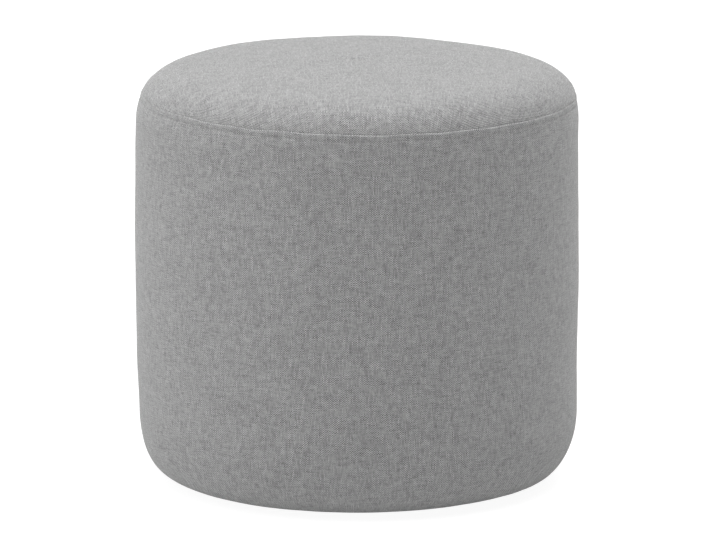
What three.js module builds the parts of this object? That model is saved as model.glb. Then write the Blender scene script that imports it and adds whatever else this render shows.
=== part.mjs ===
// A round upholstered footstool: a firm drum in grey woven cloth, about as tall as it is wide.
// A low crowned top panel is sewn to one side panel by a plain seam whose allowance is turned down. The side
// panel turns under at the foot, and a flat under panel closes it there.
// Each panel's solid carries the filling behind it.
// Units are millimetres. +Z is up, the front faces -Y, and the origin is on the floor under the middle.

import * as THREE from "three";

// The drum
const WALL_RADIUS = 225; // at the top of the wall, where the shoulder begins
const WALL_HEIGHT = 298;
const WALL_TAPER = 1.1; // the wall's foot is this much further in than its top
const WALL_BELLY = 1.6; // the filling pushes the middle of the wall out by this much

// Rounded edges, each a quarter of a superellipse: flat is its exponent across, full its exponent up
const SHOULDER = { height: 52, flat: 14, full: 2 };
const FOOT = { height: 70, flat: 4, full: 2 };
const CROWN_RISE = 11; // the filling lifts the middle of the top above the shoulder's own curve

// The sewn seam round the top
const TOP_PANEL_REACH = 233; // from the middle of the top to the seam, over the cloth
const SEAM_DIP = 1.4; // how deep the seam draws in, and the radius of the cloth's turn into it
const ALLOWANCE_WIDTH = 4.5; // the turned-down allowance lies under the cloth just below the seam
const ALLOWANCE_RISE = 0.5;

// The underside
const UNDER_RADIUS = 148;
const UNDER_THICKNESS = 1.5;
const FOOT_FLAT_RADIUS = 150; // the side panel lies flat under the drum inside this radius
const CLEARANCE = 0.3; // between any two panels

// How finely the curved faces are cut
const SEGMENTS_ROUND = 96;
const STEPS = { crown: 24, shoulder: 3, wall: 6, foot: 14, turn: 3 };
const STRETCH_STEPS = 1000; // for measuring along each of the section's three stretches

const UNDERSIDE_Z = UNDER_THICKNESS + CLEARANCE;
const WALL_FOOT_Z = UNDERSIDE_Z + FOOT.height;
const WALL_TOP_Z = WALL_FOOT_Z + WALL_HEIGHT;
const WALL_FOOT_RADIUS = WALL_RADIUS - WALL_TAPER;

// Height of a rounded edge over its own foot, at a share of the way out from its flat to the wall.
function edgeHeight(share, edge) {
  return edge.height * Math.max(0, 1 - share ** edge.flat) ** (1 / edge.full);
}

// The drum's outer face in section, from the middle of the top over the shoulder, down the wall and under the
// foot. x is the distance from the axis and y the height.
class DrumSection extends THREE.Curve {
  getPoint(u, target = new THREE.Vector2()) {
    const stretch = Math.min(2, Math.floor(u * 3));
    const along = u * 3 - stretch;
    if (stretch === 0) return this.shoulder(along, target);
    if (stretch === 1) return this.wall(along, target);
    return this.foot(along, target);
  }

  shoulder(along, target) {
    const share = Math.sin((along * Math.PI) / 2);
    const crown = CROWN_RISE * (1 - share ** 2);
    return target.set(WALL_RADIUS * share, WALL_TOP_Z + edgeHeight(share, SHOULDER) + crown);
  }

  wall(along, target) {
    const belly = WALL_BELLY * 4 * along * (1 - along);
    return target.set(WALL_RADIUS - WALL_TAPER * along + belly, WALL_TOP_Z - WALL_HEIGHT * along);
  }

  foot(along, target) {
    const share = Math.cos((along * Math.PI) / 2);
    const reach = WALL_FOOT_RADIUS - FOOT_FLAT_RADIUS;
    return target.set(FOOT_FLAT_RADIUS + reach * share, WALL_FOOT_Z - edgeHeight(share, FOOT));
  }
}

const section = new DrumSection();
section.arcLengthDivisions = 3 * STRETCH_STEPS;
const lengths = section.getLengths();
const SHOULDER_END = lengths[STRETCH_STEPS];
const WALL_END = lengths[2 * STRETCH_STEPS];
const SECTION_LENGTH = lengths[3 * STRETCH_STEPS];

// The point at a distance over the cloth from the middle of the top, moved outwards by `out`.
function onSection(distance, out = 0) {
  const u = Math.min(1, distance / SECTION_LENGTH);
  const point = section.getPointAt(u);
  const tangent = section.getTangentAt(u);
  return point.add(new THREE.Vector2(-tangent.y, tangent.x).multiplyScalar(out));
}

// Evenly spaced distances from one to another, both included.
function distances(from, to, steps) {
  return Array.from({ length: steps + 1 }, (_, i) => from + ((to - from) * i) / steps);
}

// The cloth's quarter turn into the seam, from the panel's face to its edge. `into` is 1 where the edge lies
// further down the section than the face, and -1 where it lies further up. `proud` is how far the face stands
// out there.
function turnIntoSeam(edge, into, proud) {
  const depth = SEAM_DIP + proud;
  return distances(0, Math.PI / 2, STEPS.turn).map((angle) =>
    onSection(edge - into * SEAM_DIP * (1 - Math.sin(angle)), proud - depth * (1 - Math.cos(angle))),
  );
}

// Turns a section, which starts and ends on the axis, about the upright.
function turned(points) {
  const geometry = new THREE.LatheGeometry(points, SEGMENTS_ROUND);
  geometry.rotateX(Math.PI / 2);
  return geometry;
}

function cloth(name, geometry, color) {
  const material = new THREE.MeshStandardMaterial({ color, roughness: 0.95, metalness: 0 });
  const mesh = new THREE.Mesh(geometry, material);
  mesh.name = name;
  return mesh;
}

// The round crowned panel, from its edge in the seam to the middle of the top.
function topPanel() {
  const lip = turnIntoSeam(TOP_PANEL_REACH, 1, 0).reverse();
  const crown = distances(TOP_PANEL_REACH - SEAM_DIP, 0, STEPS.crown).slice(1);
  const middle = new THREE.Vector2(0, lip[0].y);
  return turned([middle, ...lip, ...crown.map((distance) => onSection(distance))]);
}

// The band round the drum, from its flat underside to its edge in the seam.
function sidePanel() {
  const edge = TOP_PANEL_REACH + CLEARANCE;
  const allowanceEnd = edge + ALLOWANCE_WIDTH;
  const faceStart = allowanceEnd + 2 * ALLOWANCE_RISE;
  const lip = turnIntoSeam(edge, -1, ALLOWANCE_RISE);
  const face = [
    ...distances(faceStart, SHOULDER_END, STEPS.shoulder),
    ...distances(SHOULDER_END, WALL_END, STEPS.wall).slice(1),
    ...distances(WALL_END, SECTION_LENGTH, STEPS.foot).slice(1),
  ]
    .reverse()
    .map((distance) => onSection(distance));
  const under = new THREE.Vector2(0, UNDERSIDE_Z);
  const middle = new THREE.Vector2(0, lip[lip.length - 1].y);
  return turned([under, ...face, onSection(allowanceEnd, ALLOWANCE_RISE), ...lip, middle]);
}

// The flat round panel that the stool stands on.
function underPanel() {
  const geometry = new THREE.CylinderGeometry(UNDER_RADIUS, UNDER_RADIUS, UNDER_THICKNESS, SEGMENTS_ROUND);
  geometry.rotateX(Math.PI / 2);
  geometry.translate(0, 0, UNDER_THICKNESS / 2);
  return geometry;
}

const footstool = new THREE.Group();
footstool.add(
  cloth("top_panel", topPanel(), 0xa9a9a9),
  cloth("side_panel", sidePanel(), 0x9c9c9c),
  cloth("under_panel", underPanel(), 0x3a3a3a),
);

export default footstool;
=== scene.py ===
# A round upholstered footstool in grey melange cloth: a firm drum with a low crowned top, a plain seam on its
# soft shoulder, a straight wall and a rounded foot.
# Metres, +Z up, the front faces -Y, and the origin is on the floor under the middle.

import math

import bpy
import numpy as np
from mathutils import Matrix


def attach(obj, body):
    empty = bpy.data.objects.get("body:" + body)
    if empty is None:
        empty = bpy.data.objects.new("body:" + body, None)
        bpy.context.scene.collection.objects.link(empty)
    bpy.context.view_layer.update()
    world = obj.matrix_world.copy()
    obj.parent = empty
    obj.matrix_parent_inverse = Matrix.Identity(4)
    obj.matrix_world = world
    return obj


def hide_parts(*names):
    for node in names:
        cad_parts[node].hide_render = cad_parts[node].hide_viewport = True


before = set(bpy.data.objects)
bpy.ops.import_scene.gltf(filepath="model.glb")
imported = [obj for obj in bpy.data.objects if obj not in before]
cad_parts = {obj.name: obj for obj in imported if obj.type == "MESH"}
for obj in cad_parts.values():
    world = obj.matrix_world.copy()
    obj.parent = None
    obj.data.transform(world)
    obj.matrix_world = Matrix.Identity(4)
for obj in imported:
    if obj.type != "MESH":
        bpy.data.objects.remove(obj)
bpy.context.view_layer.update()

MM = 0.001

# The drum, as in the CAD model. Its shoulder and foot are quarters of a superellipse, and flat is the
# exponent across.
WALL_RADIUS = 225 * MM  # at the top of the wall
WALL_HEIGHT = 298 * MM
WALL_TAPER = 1.1 * MM  # the wall's foot is this much further in than its top
WALL_BELLY = 1.6 * MM
SHOULDER_HEIGHT = 52 * MM
SHOULDER_FLAT = 14
FOOT_HEIGHT = 70 * MM
FOOT_FLAT = 4
CROWN_RISE = 11 * MM
TOP_PANEL_REACH = 233 * MM  # from the middle of the top to the seam, over the cloth
UNDER_RADIUS = 148 * MM
UNDER_THICKNESS = 1.5 * MM
FOOT_FLAT_RADIUS = 150 * MM  # the side panel lies flat under the drum inside this radius
CLEARANCE = 0.3 * MM  # between any two panels

UNDERSIDE_Z = UNDER_THICKNESS + CLEARANCE
WALL_FOOT_Z = UNDERSIDE_Z + FOOT_HEIGHT
WALL_TOP_Z = WALL_FOOT_Z + WALL_HEIGHT
WALL_FOOT_RADIUS = WALL_RADIUS - WALL_TAPER

# What is uneven about it. The filling is fuller at the right of the shoulder, and the shoulder and the foot
# sit a little to the right, most at the heights given here.
SHOULDER_FULLER = 0.3  # a share of the shoulder's exponent
SHOULDER_SHIFT = 1.1 * MM
SHOULDER_SHIFT_Z = 396 * MM
SHOULDER_SHIFT_REACH = 30 * MM
FOOT_SHIFT = 1.5 * MM
FOOT_SHIFT_Z = 60 * MM
FOOT_SHIFT_REACH = 42 * MM

# The top leans down to the right, and below the seam the lean fades to nothing
TOP_LEAN = 2.7 * MM
LEAN_FULL = 3 * MM  # below the seam
LEAN_END = 180 * MM

# The seam runs a little skew, oval and high, with the cloth near it, and its stitching wanders
SEAM_SKEW = 1.7 * MM
SEAM_OVAL = -1.4 * MM
SEAM_HIGHER = 0.7 * MM
SKEW_REACH = 50 * MM
WANDER = 0.3 * MM
WANDER_REACH = 16 * MM

# The seam as sewn, in distances past it and out of the drum's face. The side panel's folded edge lies on the
# top panel's, which tucks in and runs on a little below it.
TUCK_WIDTH = 5 * MM
TUCK_DEPTH = 0.15 * MM
TUCK_STEPS = 8
TUCK_UNDER = ((0.15 * MM, -0.3 * MM), (0.8 * MM, -0.9 * MM), (1.5 * MM, -1.3 * MM), (1.5 * MM, -3.5 * MM))
FOLD_UNDER = ((4.5 * MM, -7.0 * MM), (3.5 * MM, -1.3 * MM), (1.6 * MM, -0.9 * MM), (0.8 * MM, -0.45 * MM))
FOLD_ROUND = 0.2 * MM
FOLD_MIDDLE = (1.2 * FOLD_ROUND, -0.3 * FOLD_ROUND)
FOLD_STEPS = 7

# The allowance turned down behind the fold makes a low welt, steep above and slack below
WELT_RISE = 1.05 * MM
WELT_FRONT = 1.7 * MM
WELT_BACK = 6.4 * MM
WELT_SLACK = 1.7  # the exponent of its fall
WELT_END = 10.5 * MM
WELT_ROWS = ((0.25 * MM, 2 * MM, 8), (2.4 * MM, WELT_END, 17))  # from, to and how many

# The cloth draws in just below the welt, in some places fully and in others by the least share alone
DRAWN_IN = 0.6 * MM
DRAWN_WIDTH = 1.4 * MM
DRAWN_LEAST = 0.24

# At the left and right the top panel swells out to the welt, which is lower there
SIDE_SWELL = 0.95 * MM
SWELL_ABOVE = 6 * MM  # above the seam, where it is greatest
SWELL_WIDTH = 9 * MM
SWELL_END = 6 * MM  # below the seam
SIDE_WELT = 0.45  # the share of its height that the welt loses
SIDE_COSINES = (0.82, 0.97)  # of the turn from the left or right, where this starts and where it is full

# The cloth's ripples all over, fainter near the seam, and its puckers just above it
RIPPLE_RISE = 0.05 * MM
RIPPLE_AT_SEAM = 0.4
RIPPLE_FULL = 12 * MM
PUCKER_RISE = 0.09 * MM
PUCKER_ABOVE = 5 * MM
PUCKER_WIDTH = 5 * MM

# The closing seam of the side panel, a plain vertical one behind: a groove, and beside it a low ridge over
# the allowance, which rises over the first stretch given here and falls over the second
CLOSING_AT = math.pi / 2
CLOSING_DEPTH = 0.7 * MM
CLOSING_WIDTH = 1.1 * MM
CLOSING_START = 2 * MM  # below the seam round the top
RIDGE_RISE = 0.35 * MM
RIDGE_RISES = (0, 2 * MM)
RIDGE_FALLS = (9 * MM, 11 * MM)

# How finely the meshes are cut
SEGMENTS_ROUND = 600
STRETCH_STEPS = 600  # for measuring along each of the section's three stretches
SLOPE_REACH = 0.4 * MM  # to each side of a place, for the section's slope there
FINE_COLUMNS = ((-4 * MM, 4 * MM, 17), (7 * MM, 13 * MM, 9))  # over the closing seam: from, to and how many
CLOSEST_COLUMNS = 0.15 * MM


def smoothstep(low, high, x):
    t = np.clip((x - low) / (high - low), 0, 1)
    return t * t * (3 - 2 * t)


def bump(x, width):
    """1 at x = 0, falling to 0 smoothly at about twice the width."""
    return np.exp(-((x / width) ** 2))


def spaced(start, end, step):
    """Distances from one to another, both included, about a step apart."""
    count = max(1, round(abs(end - start) / step))
    return list(np.linspace(start, end, count + 1))


def turns(count):
    """Angles round the upright, evenly spaced."""
    return np.arange(count) * math.tau / count


# The drum's outer face in section, over the shoulder, down the wall and under the foot

def sections(angles):
    """Distance over the cloth from the middle of the top, radius and height, one row for each angle."""
    along = np.linspace(0, 1, STRETCH_STEPS + 1)
    flat = (SHOULDER_FLAT * (1 + SHOULDER_FULLER * np.cos(angles)))[:, None]
    share = np.sin(along * math.pi / 2)
    edge = np.sqrt(np.maximum(0, 1 - share**flat))
    shoulder_z = WALL_TOP_Z + SHOULDER_HEIGHT * edge + CROWN_RISE * (1 - share**2)
    wall_r = WALL_RADIUS - WALL_TAPER * along + WALL_BELLY * 4 * along * (1 - along)
    wall_z = WALL_TOP_Z - WALL_HEIGHT * along
    foot_share = np.cos(along * math.pi / 2)
    foot_r = FOOT_FLAT_RADIUS + (WALL_FOOT_RADIUS - FOOT_FLAT_RADIUS) * foot_share
    foot_z = WALL_FOOT_Z - FOOT_HEIGHT * np.sqrt(np.maximum(0, 1 - foot_share**FOOT_FLAT))
    r = np.concatenate([WALL_RADIUS * share, wall_r[1:], foot_r[1:]])
    r = np.tile(r, (len(angles), 1))
    lower = np.tile(np.concatenate([wall_z[1:], foot_z[1:]]), (len(angles), 1))
    z = np.concatenate([shoulder_z, lower], axis=1)
    step = np.hypot(np.diff(r, axis=1), np.diff(z, axis=1))
    length = np.concatenate([np.zeros((len(angles), 1)), np.cumsum(step, axis=1)], axis=1)
    return length, r, z


# The section in front and behind, where it is as in the CAD model
EVEN_LENGTH, _, EVEN_Z = (row[0] for row in sections(np.array([math.pi / 2])))
SHOULDER_END = EVEN_LENGTH[STRETCH_STEPS]
WALL_END = EVEN_LENGTH[2 * STRETCH_STEPS]
SECTION_END = EVEN_LENGTH[-1]
SEAM_Z = float(np.interp(TOP_PANEL_REACH, EVEN_LENGTH, EVEN_Z))


def on_drum(angles, s, out):
    """Radius and height of places at distances s over the cloth, moved outwards by out. s and out are grids
    with a column for each angle."""
    length, radius, height = sections(angles)
    r, z = np.empty(s.shape), np.empty(s.shape)
    for j in range(len(angles)):
        end = length[j, -1]
        here = np.minimum(s[:, j], end)
        at = [here, np.maximum(here - SLOPE_REACH, 0), np.minimum(here + SLOPE_REACH, end)]
        r_at, r_before, r_after = (np.interp(x, length[j], radius[j]) for x in at)
        z_at, z_before, z_after = (np.interp(x, length[j], height[j]) for x in at)
        size = np.hypot(r_after - r_before, z_after - z_before)
        r[:, j] = r_at - out[:, j] * (z_after - z_before) / size
        z[:, j] = z_at + out[:, j] * (r_after - r_before) / size
    return r, z


def closed_mesh(name, grid):
    """A mesh through a grid of points, rows by columns round the upright, closed by a point at each end."""
    rows, count = grid.shape[:2]
    points = np.vstack([grid.reshape(-1, 3), [grid[0].mean(axis=0)], [grid[-1].mean(axis=0)]])
    start, end = len(points) - 2, len(points) - 1
    faces = []
    for j in range(count):
        k = (j + 1) % count
        for i in range(rows - 1):
            a, b = i * count, (i + 1) * count
            faces.append((a + j, b + j, b + k, a + k))
        faces.append((start, j, k))
        faces.append((end, (rows - 1) * count + k, (rows - 1) * count + j))
    mesh = bpy.data.meshes.new(name)
    mesh.from_pydata(points.tolist(), [], faces)
    mesh.validate()
    return mesh


class Ripple:
    """A smooth uneven field over the drum: seeded waves, whole numbers of them round it, about 1 in size."""

    def __init__(self, seed, count, rounds, wave):
        rng = np.random.default_rng(seed)
        self.rounds = rng.integers(rounds[0], rounds[1] + 1, count)
        self.along = math.tau / rng.uniform(wave[0], wave[1], count)
        self.phases = rng.uniform(0, math.tau, (2, count))
        self.size = 2 / math.sqrt(count)

    def __call__(self, angle, s):
        total = np.zeros(np.broadcast(angle, s).shape)
        for k, q, a, b in zip(self.rounds, self.along, *self.phases):
            total = total + np.cos(k * angle + a) * np.cos(q * s + b)
        return total * self.size


# The filling's lumps, the cloth's small ripples, the puckers above and below the seam, and the wander of its
# stitching
FILLING = Ripple(seed=3, count=24, rounds=(1, 9), wave=(120 * MM, 420 * MM))
CLOTH = Ripple(seed=5, count=40, rounds=(12, 44), wave=(26 * MM, 80 * MM))
PUCKER = Ripple(seed=8, count=30, rounds=(70, 130), wave=(200 * MM, 600 * MM))
PUCKER_BELOW = Ripple(seed=9, count=30, rounds=(80, 135), wave=(200 * MM, 600 * MM))
SEAM_WANDER = Ripple(seed=11, count=10, rounds=(7, 34), wave=(1, 3))


# The cover, settled over its filling by Blender's cloth simulation. It is held at the seam and under the
# foot, and starts a little smaller than the drum, on the filling's bumps.
COVER_COLUMNS = 144
COVER_STEP = 8 * MM
COVER_FRAMES = 20
PRESSURE = 0.15
STIFFNESS = 40
BENDING = 5
SMALLER = 1.6 * MM
FILLING_BUMPS = 0.3 * MM
SETTLE_CAP = 2.5 * MM
HELD_AT_SEAM = 5 * MM
FREE_FROM_SEAM = 40 * MM
HELD_UNDER = 24 * MM
FREE_BEFORE_UNDER = 60 * MM


def cover_start(angles, s):
    """How far the cover stands out of the drum before it swells."""
    free = smoothstep(HELD_AT_SEAM, FREE_FROM_SEAM, np.abs(s - TOP_PANEL_REACH))
    free = free * (1 - smoothstep(SECTION_END - FREE_BEFORE_UNDER, SECTION_END - HELD_UNDER, s))
    return free * (FILLING_BUMPS * FILLING(angles, s) - SMALLER)


def swollen(mesh, pinned):
    """The points of a mesh after the cloth simulation has filled it, with some of them held."""
    cover = bpy.data.objects.new("cover", mesh)
    bpy.context.scene.collection.objects.link(cover)
    held = cover.vertex_groups.new(name="held")
    held.add(pinned, 1.0, "REPLACE")
    cloth = cover.modifiers.new("cloth", "CLOTH")
    cloth.settings.use_pressure = True
    cloth.settings.uniform_pressure_force = PRESSURE
    cloth.settings.effector_weights.gravity = 0
    cloth.settings.tension_stiffness = STIFFNESS
    cloth.settings.compression_stiffness = STIFFNESS
    cloth.settings.bending_stiffness = BENDING
    cloth.settings.vertex_group_mass = "held"
    cloth.point_cache.frame_start, cloth.point_cache.frame_end = 1, COVER_FRAMES
    for step in range(1, COVER_FRAMES + 1):
        bpy.context.scene.frame_set(step)
    result = cover.evaluated_get(bpy.context.evaluated_depsgraph_get()).data
    points = np.empty(len(result.vertices) * 3)
    result.vertices.foreach_get("co", points)
    bpy.context.scene.frame_set(1)
    bpy.data.objects.remove(cover)
    return points.reshape(-1, 3)


def settled_cover():
    """How far the swollen cover stands out of the drum's even shape, as rows of s and columns of angle."""
    angles = turns(COVER_COLUMNS)
    s = np.array(spaced(COVER_STEP, SECTION_END, COVER_STEP))
    grid = np.zeros((len(s), COVER_COLUMNS))
    around, along = np.broadcast_arrays(angles[None, :], s[:, None])
    r, z = on_drum(angles, along, cover_start(around, along))
    mesh = closed_mesh("cover", np.stack([r * np.cos(around), r * np.sin(around), z], axis=-1))
    pinned = (np.abs(along - TOP_PANEL_REACH) < HELD_AT_SEAM) | (along > SECTION_END - HELD_UNDER)
    points = swollen(mesh, np.flatnonzero(pinned.ravel()).tolist())
    points = points[: grid.size].reshape(len(s), COVER_COLUMNS, 3)
    # The distance along the drum's own outward direction, capped. The section already has the mean swell.
    even_r, even_z = on_drum(angles, along, 0 * along)
    out_r, out_z = on_drum(angles, along, 0 * along + MM)
    out_r, out_z = (out_r - even_r) / MM, (out_z - even_z) / MM
    reach = points[..., 0] * np.cos(around) + points[..., 1] * np.sin(around)
    grid = (reach - even_r) * out_r + (points[..., 2] - even_z) * out_z
    grid = np.clip(grid, -SETTLE_CAP, SETTLE_CAP)
    return s, grid - grid.mean(axis=1, keepdims=True)


COVER_ROWS, COVER_OUT = settled_cover()


def cubic_weights(t):
    """How much each of four neighbours counts, at a share t of the way from the second to the third."""
    return (
        (-t + 2 * t**2 - t**3) / 2,
        (2 - 5 * t**2 + 3 * t**3) / 2,
        (t + 4 * t**2 - 3 * t**3) / 2,
        (-(t**2) + t**3) / 2,
    )


def settled(angle, s):
    """The settled cover's unevenness at any place, on a smooth surface through the points near it."""
    shape = np.broadcast(angle, s).shape
    turn = np.broadcast_to(np.mod(angle, math.tau) * COVER_COLUMNS / math.tau, shape)
    row = np.broadcast_to(np.interp(s, COVER_ROWS, np.arange(len(COVER_ROWS))), shape)
    j, i = np.floor(turn).astype(int), np.floor(row).astype(int)
    total = np.zeros(shape)
    for di, down in enumerate(cubic_weights(row - i), start=-1):
        near = np.clip(i + di, 0, len(COVER_ROWS) - 1)
        for dj, across in enumerate(cubic_weights(turn - j), start=-1):
            total = total + down * across * COVER_OUT[near, (j + dj) % COVER_COLUMNS]
    return total


# What the cloth adds to the drum's section

def sideways(angle):
    """1 at the left and right of the drum, and 0 in front and behind."""
    return smoothstep(*SIDE_COSINES, np.abs(np.cos(angle)))


def softness(angle, s):
    """How far the cloth stands out of its even shape."""
    past_seam = s - TOP_PANEL_REACH
    open_face = smoothstep(0, RIPPLE_FULL, np.abs(past_seam))
    ripple = RIPPLE_AT_SEAM + (1 - RIPPLE_AT_SEAM) * open_face
    out = settled(angle, s) + RIPPLE_RISE * CLOTH(angle, s) * ripple
    out = out + PUCKER_RISE * PUCKER(angle, s) * bump(past_seam + PUCKER_ABOVE, PUCKER_WIDTH)
    swell = bump(past_seam + SWELL_ABOVE, SWELL_WIDTH) * (1 - smoothstep(0, SWELL_END, past_seam))
    out = out + SIDE_SWELL * sideways(angle) * swell
    middle, swing = (1 + DRAWN_LEAST) / 2, (1 - DRAWN_LEAST) / 2
    pulled = middle + swing * np.clip(PUCKER_BELOW(angle, s), -1, 1)
    return out - DRAWN_IN * pulled * bump(past_seam - WELT_BACK, DRAWN_WIDTH)


def seam_strays(angle, s):
    """How much further from the middle of the top the seam, and the cloth near it, runs."""
    skew = SEAM_SKEW * np.cos(angle) + SEAM_OVAL * np.cos(2 * angle) - SEAM_HIGHER
    skew = skew * bump(s - TOP_PANEL_REACH, SKEW_REACH)
    return skew + WANDER * SEAM_WANDER(angle, 0 * s) * bump(s - TOP_PANEL_REACH, WANDER_REACH)


def settle(x, y, z):
    """The whole drum's own unevenness: its top leans, and its shoulder and foot sit a little to the right."""
    lean = TOP_LEAN * smoothstep(SEAM_Z - LEAN_END, SEAM_Z - LEAN_FULL, z) * x / WALL_RADIUS
    shoulder = SHOULDER_SHIFT * bump(z - SHOULDER_SHIFT_Z, SHOULDER_SHIFT_REACH)
    foot = FOOT_SHIFT * bump(z - FOOT_SHIFT_Z, FOOT_SHIFT_REACH)
    return x + shoulder + foot, y, z - lean


def closing_seam(angle, s):
    """How far the closing seam's ridge stands out, less how deep its groove is."""
    turn = (angle - CLOSING_AT) * WALL_RADIUS
    face = smoothstep(TOP_PANEL_REACH, TOP_PANEL_REACH + CLOSING_START, s)
    groove = CLOSING_DEPTH * bump(turn, CLOSING_WIDTH)
    ridge = RIDGE_RISE * smoothstep(*RIDGE_RISES, turn) * (1 - smoothstep(*RIDGE_FALLS, turn))
    return (ridge - groove) * face


def tucked_edge():
    """The top panel's edge, from its face down and on below the fold, as (s, out) pairs."""
    share = np.linspace(0, 1, TUCK_STEPS)
    pairs = [(TOP_PANEL_REACH - TUCK_WIDTH * (1 - t), -TUCK_DEPTH * t * t) for t in share]
    return pairs + [(TOP_PANEL_REACH + s, out) for s, out in TUCK_UNDER]


def welt(s):
    """How far the welt stands out, at a distance below the seam. It begins a little above the seam, and
    starts to fall before its front is fully up."""
    crest = 0.7 * WELT_FRONT
    fall = np.clip((s - crest) / (WELT_BACK - crest), 0, 1)
    return WELT_RISE * smoothstep(-0.2 * WELT_FRONT, WELT_FRONT, s) * (1 - fall**WELT_SLACK)


def folded_edge():
    """The side panel's edge, from deep inside, round the fold and over the welt, as (s, out) pairs."""
    fold_s, fold_out = FOLD_MIDDLE
    pairs = list(FOLD_UNDER)
    # The fold is a quarter turn, on its side towards the middle of the top
    for t in np.linspace(-0.75 * math.pi, -1.25 * math.pi, FOLD_STEPS):
        pairs.append((fold_s + FOLD_ROUND * math.cos(t), fold_out + FOLD_ROUND * math.sin(t)))
    below = np.concatenate([np.linspace(*rows) for rows in WELT_ROWS])
    pairs += [(s, float(welt(s))) for s in below]
    return [(TOP_PANEL_REACH + s, out) for s, out in pairs]


def drum_mesh(name, rings, angles, closing=False):
    """Turns a profile about the upright. rings are (s, out) from one end to the other, and the solid is
    closed by a flat at each end."""
    s = np.array([ring[0] for ring in rings])[:, None]
    out = np.array([ring[1] for ring in rings])[:, None]
    around = angles[None, :]
    out = np.where(out > 0, out * (1 - SIDE_WELT * sideways(around)), out) + softness(around, s)
    if closing:
        out = out + closing_seam(around, s)
    r, z = on_drum(angles, s + seam_strays(around, s), out)
    x, y, z = settle(r * np.cos(around), r * np.sin(around), z)
    return closed_mesh(name, np.stack([x, y, z], axis=-1))


# Materials

class Nodes:
    """Short names for making the shader nodes of one tree."""

    def __init__(self, tree):
        self.tree = tree

    def add(self, kind, **settings):
        node = self.tree.nodes.new(kind)
        for key, value in settings.items():
            setattr(node, key, value)
        return node

    def put(self, socket, value):
        """Links an output to a socket, or sets the socket to a value."""
        if isinstance(value, bpy.types.NodeSocket):
            self.tree.links.new(value, socket)
        elif value is not None:
            socket.default_value = value

    def put_all(self, node, values):
        for name, value in values.items():
            self.put(node.inputs[name], value)

    def math(self, operation, a, b=None, c=None):
        node = self.add("ShaderNodeMath", operation=operation)
        for socket, value in zip(node.inputs, (a, b, c)):
            self.put(socket, value)
        return node.outputs[0]

    def join(self, x, y, z=0.0):
        node = self.add("ShaderNodeCombineXYZ")
        for socket, value in zip(node.inputs, (x, y, z)):
            self.put(socket, value)
        return node.outputs[0]

    def noise(self, vector, scale=1.0, detail=0.0, roughness=0.5):
        node = self.add("ShaderNodeTexNoise", noise_dimensions="3D")
        self.put_all(node, {"Vector": vector, "Scale": scale, "Detail": detail, "Roughness": roughness})
        return node.outputs["Fac"]

    def varied(self, noise, amount, middle):
        """The middle value, made uneven by a noise about 0.5."""
        return self.math("MULTIPLY_ADD", self.math("SUBTRACT", noise, 0.5), amount, middle)

    def mix(self, share, a, b):
        node = self.add("ShaderNodeMix", data_type="FLOAT")
        for socket, value in zip(node.inputs[:4], (share, None, a, b)):
            self.put(socket, value)
        return node.outputs[0]

    def spread(self, value, low, high, to_low, to_high):
        """Maps the range from low to high onto the range from to_low to to_high, and stays inside it."""
        node = self.add("ShaderNodeMapRange", clamp=True)
        for socket, v in zip(node.inputs, (value, low, high, to_low, to_high)):
            self.put(socket, v)
        return node.outputs[0]

    def grey(self, value):
        node = self.add("ShaderNodeCombineColor")
        for socket in node.inputs:
            self.put(socket, value)
        return node.outputs[0]

    def relief(self, height, strength, distance):
        node = self.add("ShaderNodeBump")
        self.put_all(node, {"Strength": strength, "Distance": distance, "Height": height})
        return node.outputs[0]

    def by_ray(self, seen, otherwise):
        """One shader for what the camera sees directly, and another for all other light."""
        rays = self.add("ShaderNodeLightPath")
        node = self.add("ShaderNodeMixShader")
        for socket, value in zip(node.inputs, (rays.outputs["Is Camera Ray"], otherwise, seen)):
            self.put(socket, value)
        return node.outputs[0]


def new_material(name):
    material = bpy.data.materials.new(name)
    material.use_nodes = True
    nodes = Nodes(material.node_tree)
    shader = next(n for n in material.node_tree.nodes if n.type == "BSDF_PRINCIPLED")
    return material, nodes, shader


# Most of any noise lies in this range
NOISE_RANGE = (0.3, 0.7)

# The weave. The warp runs up the wall and the weft round it. Tones are shares of the cloth's albedo, and an
# unevenness is how far a tone changes from one end of its noise to the other.
WARP_PITCH = 1.3 * MM  # from one yarn to the next
WEFT_PITCH = 1.07 * MM
SWAY = 1.2  # in pitches, from side to side
SWAY_SIZE = 25 * MM
WARP_TONE = 1.28
WARP_UNEVEN = 1.85
WEFT_TONE = 0.7
WEFT_UNEVEN = 1.6
SLUB_LENGTH = 8 * MM
WARP_STRIDE = 7.31  # in the noise, from one yarn to the next, so that neighbours differ
WEFT_STRIDE = 5.17
HAIR_SIZE = 0.5 * MM
HAIR_UNEVEN = 0.5
BLOTCH_SIZE = 30 * MM
BLOTCH_UNEVEN = 0.12
PILLOW = 0.92  # how much of half a wave the crown of each float takes
# Painted shade in the gaps between the yarns and a painted highlight on their crests, as shares of the tone;
# the highlight is full at the crest height
GAP_PAINTED_SHADE = 0.5
CREST_PAINTED_HIGHLIGHT = 1.12
CREST_HEIGHT = 0.8
LEAST_TONE = 0.1
CLOTH_ALBEDO = 0.378  # where the tone is 1
YARN_RELIEF = 0.25 * MM
HAIR_RELIEF = 0.25  # a share of the yarns'


def yarn_tones(n, u, v, warp, weft):
    """Tones of the warp and the weft. Each yarn changes in tone along its length, in slubs of its own."""
    warp_place = n.join(n.math("MULTIPLY", warp, WARP_STRIDE), n.math("MULTIPLY", v, 1 / SLUB_LENGTH), 1.7)
    weft_place = n.join(n.math("MULTIPLY", u, 1 / SLUB_LENGTH), n.math("MULTIPLY", weft, WEFT_STRIDE), 8.3)
    warp_tone = n.varied(n.noise(warp_place, detail=2.0), WARP_UNEVEN, WARP_TONE)
    weft_tone = n.varied(n.noise(weft_place, detail=2.0), WEFT_UNEVEN, WEFT_TONE)
    return warp_tone, weft_tone


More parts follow.
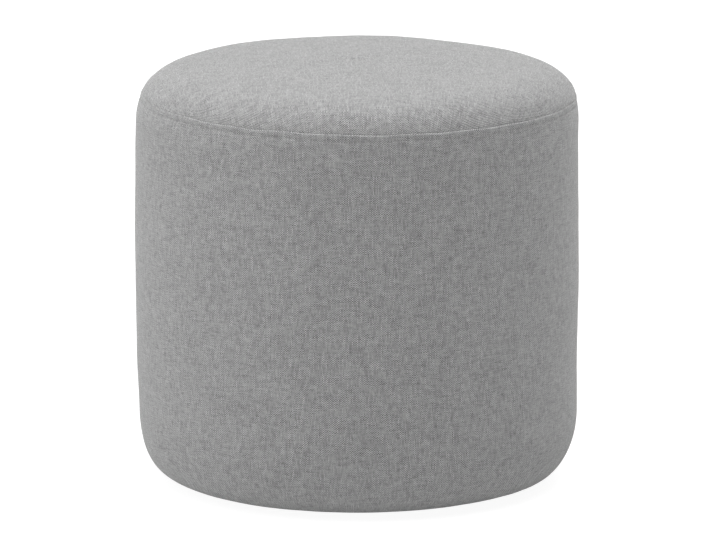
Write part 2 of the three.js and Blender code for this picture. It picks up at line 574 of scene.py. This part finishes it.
def woven_cloth():
    """Plain weave of a light melange warp and a darker weft. The map gives metres on the cloth as cut, and
    the third number of a place only sets one noise apart from another."""
    material, n, shader = new_material("woven_cloth")
    place = n.add("ShaderNodeUVMap", uv_map="cut")
    parts = n.add("ShaderNodeSeparateXYZ")
    n.put(parts.inputs[0], place.outputs[0])
    u, v = parts.outputs[0], parts.outputs[1]
    # The yarns run a little uneven
    sway_u = n.math("MULTIPLY_ADD", n.noise(n.join(u, v), 1 / SWAY_SIZE), SWAY, -SWAY / 2)
    sway_v = n.math("MULTIPLY_ADD", n.noise(n.join(u, v, 5.0), 1 / SWAY_SIZE), SWAY, -SWAY / 2)
    across = n.math("MULTIPLY_ADD", u, 1 / WARP_PITCH, sway_u)
    down = n.math("MULTIPLY_ADD", v, 1 / WEFT_PITCH, sway_v)
    warp, weft = n.math("FLOOR", across), n.math("FLOOR", down)
    in_warp = n.math("SUBTRACT", n.math("FRACT", across), 0.5)
    in_weft = n.math("SUBTRACT", n.math("FRACT", down), 0.5)
    weft_over = n.math("FLOORED_MODULO", n.math("ADD", warp, weft), 2.0)
    # Each float is a small pillow, longer along its own yarn
    wide = n.math("COSINE", n.math("MULTIPLY", in_warp, math.pi * PILLOW))
    tall = n.math("COSINE", n.math("MULTIPLY", in_weft, math.pi * PILLOW))
    warp_float = n.math("MULTIPLY", wide, n.math("POWER", tall, 0.5))
    weft_float = n.math("MULTIPLY", tall, n.math("POWER", wide, 0.5))
    height = n.mix(weft_over, warp_float, weft_float)
    # The yarns' own tones, with hairs and faint blotches over them, and painted shade between the yarns with
    # a painted highlight on their crests
    hair_place = n.join(n.math("MULTIPLY", u, 1 / HAIR_SIZE), n.math("MULTIPLY", v, 1 / HAIR_SIZE), 2.2)
    hairs = n.noise(hair_place, detail=1.0)
    blotch = n.noise(n.join(u, v, 3.0), 1 / BLOTCH_SIZE, detail=2.0)
    tone = n.varied(hairs, HAIR_UNEVEN, n.mix(weft_over, *yarn_tones(n, u, v, warp, weft)))
    tone = n.varied(blotch, BLOTCH_UNEVEN, tone)
    # Painted shade and painted highlight: darker down in the gaps, lighter up on the crests, by the yarns'
    # height
    tone = n.math("MULTIPLY", tone, n.spread(height, 0.0, CREST_HEIGHT, GAP_PAINTED_SHADE, CREST_PAINTED_HIGHLIGHT))
    albedo = n.math("MULTIPLY", n.math("MAXIMUM", tone, LEAST_TONE), CLOTH_ALBEDO)
    raised = n.math("MULTIPLY_ADD", hairs, HAIR_RELIEF, height)
    n.put_all(shader, {
        "Base Color": n.grey(albedo),
        "Roughness": n.spread(hairs, *NOISE_RANGE, 0.86, 0.98),
        "Normal": n.relief(raised, strength=0.6, distance=YARN_RELIEF),
        "Specular IOR Level": 0.25,
        "Sheen Weight": 0.25,
        "Sheen Roughness": 0.45,
    })
    return material


# The dust cover's felt
FIBRE_SIZE = 1.5 * MM
CLUMP_SIZE = 12 * MM
FELT_RELIEF = 0.3 * MM


def under_cloth():
    """Dark felted dust cover: matted fibres with no weave."""
    material, n, shader = new_material("under_cloth")
    place = n.add("ShaderNodeTexCoord").outputs["Object"]
    fibres = n.noise(place, 1 / FIBRE_SIZE, detail=3.0, roughness=0.7)
    clumps = n.noise(place, 1 / CLUMP_SIZE, detail=2.0)
    fine, coarse = n.spread(fibres, *NOISE_RANGE, 0.02, 0.06), n.spread(clumps, *NOISE_RANGE, 0.0, 0.02)
    tone = n.math("ADD", fine, coarse)
    n.put_all(shader, {
        "Base Color": n.grey(tone),
        "Roughness": 0.95,
        "Normal": n.relief(fibres, strength=0.5, distance=FELT_RELIEF),
        "Sheen Weight": 0.1,
    })
    return material


# The pieces

def piece(name, mesh, material):
    """An object in the scene, smooth and of one material."""
    mesh.materials.append(material)
    mesh.shade_smooth()
    made = bpy.data.objects.new(name, mesh)
    bpy.context.scene.collection.objects.link(made)
    return made


def at_corners(mesh, grid, ends):
    """Values for a closed mesh's corners, from a grid of its points and the values of its two end points."""
    corners = np.empty(len(mesh.loops), dtype=np.int32)
    mesh.loops.foreach_get("vertex_index", corners)
    return np.append(grid, ends)[corners]


def cut_map(mesh, x, y):
    """Lays the map named cut over a mesh: each corner's spot on the cloth as cut, in metres."""
    spots = np.stack([x, y], axis=1).astype(np.float32)
    mesh.uv_layers.new(name="cut").uv.foreach_set("vector", spots.ravel())


def past_join(mesh, turn):
    """Turns at a mesh's corners. Where a face spans the join, at which the turn starts again from 0, its low
    ones go on past a full turn."""
    sizes = np.empty(len(mesh.polygons), dtype=np.int32)
    mesh.polygons.foreach_get("loop_total", sizes)
    starts = np.concatenate([[0], np.cumsum(sizes)[:-1]])
    widest = np.repeat(np.maximum.reduceat(turn, starts), sizes)
    spans = (widest > 0.75 * math.tau) & (turn < 0.25 * math.tau)
    return np.where(spans, turn + math.tau, turn)


# Rows of the panels' faces, as distances over the cloth: from, to and the step between rows
TOP_ROWS = (
    (2 * MM, 150 * MM, 5 * MM),
    (150 * MM, 215 * MM, 2.5 * MM),
    (215 * MM, TOP_PANEL_REACH - TUCK_WIDTH, 0.8 * MM),
)
SIDE_ROWS = (
    (TOP_PANEL_REACH + WELT_END, SHOULDER_END, 1.5 * MM),
    (SHOULDER_END, WALL_END, 5 * MM),
    (WALL_END, SECTION_END, 2.5 * MM),
)


def top_piece(material):
    face = [s for rows in TOP_ROWS for s in spaced(*rows)[:-1]]
    rings = [(s, 0.0) for s in face] + tucked_edge()
    angles = turns(SEGMENTS_ROUND)
    mesh = drum_mesh("top_cloth", rings, angles)
    s = np.array([ring[0] for ring in rings])[:, None]
    x = at_corners(mesh, s * np.cos(angles), (0.0, 0.0))
    y = at_corners(mesh, s * np.sin(angles), (0.0, 0.0))
    cut_map(mesh, x, y)
    return piece("top_cloth", mesh, material)


def side_columns():
    """Angles evenly round the drum, with more of them over the closing seam."""
    fine = np.concatenate([np.linspace(*columns) for columns in FINE_COLUMNS]) / WALL_RADIUS + CLOSING_AT
    angles = np.unique(np.round(np.concatenate([turns(SEGMENTS_ROUND), fine]), 9))
    gaps = np.diff(np.append(angles, angles[0] + math.tau)) * WALL_RADIUS
    return angles[gaps > CLOSEST_COLUMNS]


def side_piece(material):
    face = [s for rows in SIDE_ROWS for s in spaced(*rows)[1:]]
    rings = folded_edge() + [(s, 0.0) for s in face]
    angles = side_columns()
    mesh = drum_mesh("side_cloth", rings, angles, closing=True)
    s = np.array([ring[0] for ring in rings])[:, None]
    around, along = np.broadcast_arrays(angles[None, :], s)
    turn = np.mod(at_corners(mesh, around, (0.0, 0.0)) - CLOSING_AT, math.tau)
    from_seam = at_corners(mesh, along, (rings[0][0], rings[-1][0]))
    cut_map(mesh, past_join(mesh, turn) * WALL_RADIUS, -from_seam)
    return piece("side_cloth", mesh, material)


# The dust cover sags upwards off the floor, except at its rim, and unevenly between its rim and its middle
UNDER_COLUMNS = 240
UNDER_ROWS = 20
UNDER_RIM_STEPS = 9
UNDER_INNERMOST = 4 * MM
SAG = 0.1 * MM
SAG_FULL_RADIUS = 120 * MM
SAG_UNEVEN_RADII = (10 * MM, 90 * MM)


def under_piece(material):
    rim = UNDER_THICKNESS / 2
    face = np.linspace(UNDER_RADIUS - rim, UNDER_INNERMOST, UNDER_ROWS)
    profile = [(r, UNDER_THICKNESS) for r in face[:0:-1]]
    for a in np.linspace(math.pi / 2, -math.pi / 2, UNDER_RIM_STEPS):
        profile.append((UNDER_RADIUS - rim + rim * math.cos(a), rim + rim * math.sin(a)))
    profile += [(r, 0.0) for r in face[1:]]
    r = np.array([point[0] for point in profile])[:, None]
    z = np.array([point[1] for point in profile])[:, None]
    around = turns(UNDER_COLUMNS)[None, :]
    uneven = np.clip(CLOTH(around, r), -1, 1) * smoothstep(*SAG_UNEVEN_RADII, r)
    sag = SAG * (1 + uneven) * (z < rim) * smoothstep(UNDER_RADIUS - rim, SAG_FULL_RADIUS, r)
    grid = np.stack([r * np.cos(around), r * np.sin(around), z + sag], axis=-1)
    return piece("dust_cover", closed_mesh("dust_cover", grid), material)


cloth_material = woven_cloth()
top = top_piece(cloth_material)
side = side_piece(cloth_material)
under = under_piece(under_cloth())

for made, node, slot in (
    (top, "top_panel", "woven_cloth"),
    (side, "side_panel", "woven_cloth"),
    (under, "under_panel", "under_cloth"),
):
    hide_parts(node)
    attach(made, "root")

# Floor, lights and camera

FLOOR_HALF = 30.0  # half its width
FLOOR_Z = -0.1 * MM

# The floor as it lights the stool, and as it is seen: lit from below as a light table is, so that the shadow
# on it stays faint
FLOOR_LIT = {
    "Base Color": (0.6, 0.6, 0.6, 1),
    "Roughness": 0.9,
    "Specular IOR Level": 0.1,
    "Emission Color": (1, 1, 1, 1),
    "Emission Strength": 0.28,
}
FLOOR_SEEN = {
    "Base Color": (0.2, 0.2, 0.2, 1),
    "Roughness": 0.9,
    "Specular IOR Level": 0.0,
    "Emission Color": (1, 1, 1, 1),
    "Emission Strength": 0.92,
}

# Turn and rise in degrees, sharpness and strength. The turn is 0 in front and 90 at the left.
SOFT_LAMPS = (
    (0, 90, 20, 10.15),
    (60, 60, 10, 1.77),
    (240, 60, 10, 2.38),
    (90, 28, 10, 2.17),
    (180, 5, 14, 3.6),
)

CAMERA_ELEVATION = math.radians(11.75)
CAMERA_DISTANCE = 7.0
CAMERA_AIM = (0.00112, 0.0, 0.2133)
CAMERA_CLIP = (0.1, 200)
CAMERA_LENS = 344.7  # in millimetres, as the sensor is
CAMERA_SENSOR = 36


def floor():
    mesh = bpy.data.meshes.new("floor")
    h, z = FLOOR_HALF, FLOOR_Z
    mesh.from_pydata([(-h, -h, z), (h, -h, z), (h, h, z), (-h, h, z)], [], [(0, 1, 2, 3)])
    material, n, lit = new_material("pale_floor")
    n.put_all(lit, FLOOR_LIT)
    seen = n.add("ShaderNodeBsdfPrincipled")
    n.put_all(seen, FLOOR_SEEN)
    out = next(x for x in material.node_tree.nodes if x.type == "OUTPUT_MATERIAL")
    n.put(out.inputs["Surface"], n.by_ray(seen.outputs[0], lit.outputs[0]))
    made = piece("floor", mesh, material)


def sky():
    """The studio's soft lamps, as glows in the world. Seen directly, the world is white."""
    world = bpy.data.worlds.new("studio")
    bpy.context.scene.world = world
    world.use_nodes = True
    world.node_tree.nodes.clear()
    n = Nodes(world.node_tree)
    way = n.add("ShaderNodeTexCoord").outputs["Generated"]
    light = 0.0
    for turn, rise, sharpness, strength in SOFT_LAMPS:
        a, e = math.radians(turn), math.radians(rise)
        facing = n.add("ShaderNodeVectorMath", operation="DOT_PRODUCT")
        n.put(facing.inputs[0], way)
        n.put(facing.inputs[1], (-math.sin(a) * math.cos(e), -math.cos(a) * math.cos(e), math.sin(e)))
        glow = n.math("POWER", n.math("MAXIMUM", facing.outputs["Value"], 0.0), sharpness)
        light = n.math("MULTIPLY_ADD", glow, strength, light)
    lamps = n.add("ShaderNodeBackground")
    n.put_all(lamps, {"Strength": light})
    seen = n.add("ShaderNodeBackground")
    n.put_all(seen, {"Strength": 1.0})
    out = n.add("ShaderNodeOutputWorld")
    n.put(out.inputs["Surface"], n.by_ray(seen.outputs[0], lamps.outputs[0]))


def camera():
    data = bpy.data.cameras.new("camera")
    data.sensor_width = CAMERA_SENSOR
    data.lens = CAMERA_LENS
    data.clip_start, data.clip_end = CAMERA_CLIP
    made = bpy.data.objects.new("camera", data)
    bpy.context.scene.collection.objects.link(made)
    x, y, z = CAMERA_AIM
    back = CAMERA_DISTANCE * math.cos(CAMERA_ELEVATION)
    up = CAMERA_DISTANCE * math.sin(CAMERA_ELEVATION)
    made.location = (x, y - back, z + up)
    made.rotation_euler = (math.pi / 2 - CAMERA_ELEVATION, 0, 0)
    bpy.context.scene.camera = made


floor()
sky()
camera()
bpy.context.scene.view_settings.view_transform = "Standard"
